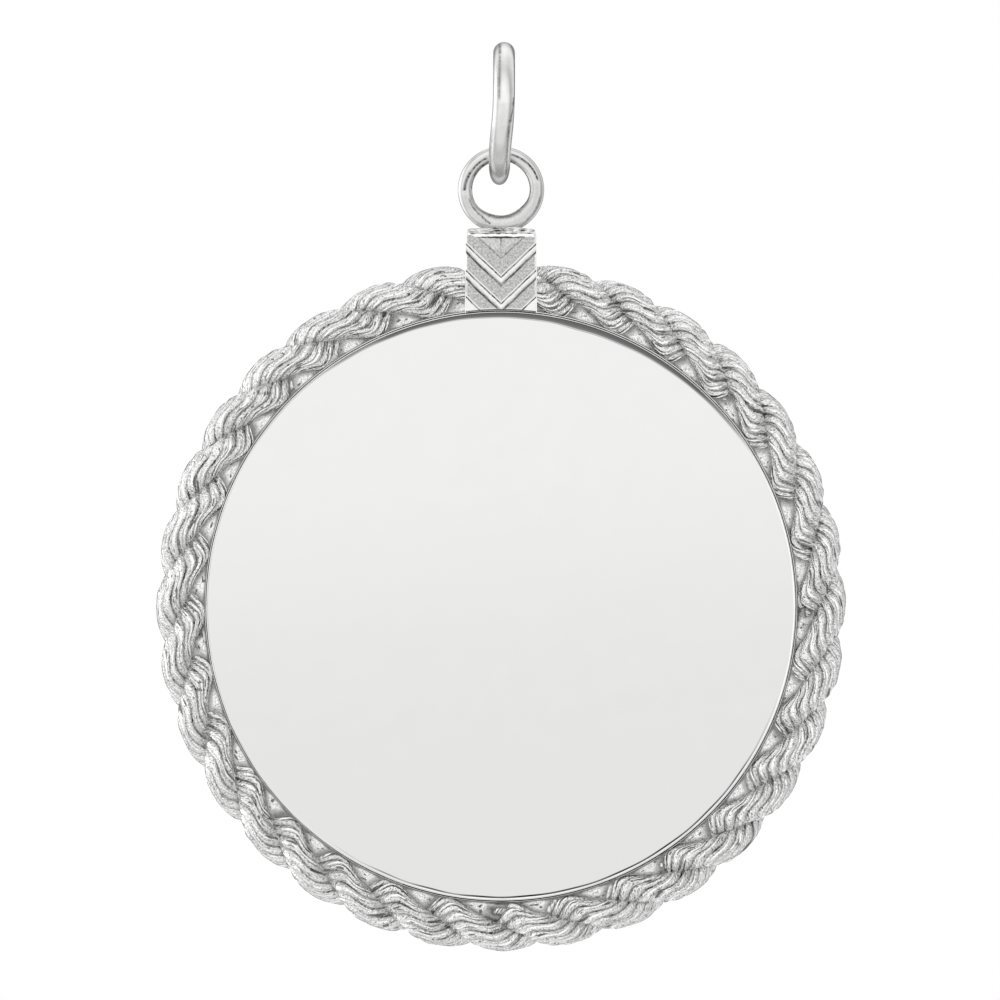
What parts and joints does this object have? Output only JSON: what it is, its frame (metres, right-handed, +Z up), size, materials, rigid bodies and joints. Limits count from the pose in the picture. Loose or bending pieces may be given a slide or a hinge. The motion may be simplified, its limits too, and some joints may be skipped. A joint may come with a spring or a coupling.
{
  "type": "disc pendant",
  "caption": "Round polished disc pendant in a cast rope border, with a chevron tab and fixed loop hanging from a jump ring.",
  "frame": {"origin": "highest point inside the jump ring, where the chain that carries the pendant passes", "axes": "+Z up with the pendant hanging below, -Y out of the disc's polished front, +X to the right seen from the front, along the chain"},
  "size_m": [0.0312, 0.0064, 0.0411],
  "materials": {
    "polished_silver": "mirror polished silver",
    "cast_silver": "bright cast silver with a fine grain"
  },
  "bodies": {
    "hanger": {"jump_ring": "polished_silver"},
    "pendant": {"disc": "polished_silver", "rope_frame": "cast_silver", "bail": "cast_silver"}
  },
  "joints": [
    {"name": "pendant_swing", "type": "hinge", "parent": "hanger", "child": "pendant", "pos_m": [0, 0, -0.00407], "axis": [1, 0, 0], "range_deg": [-90, 90]}
  ]
}
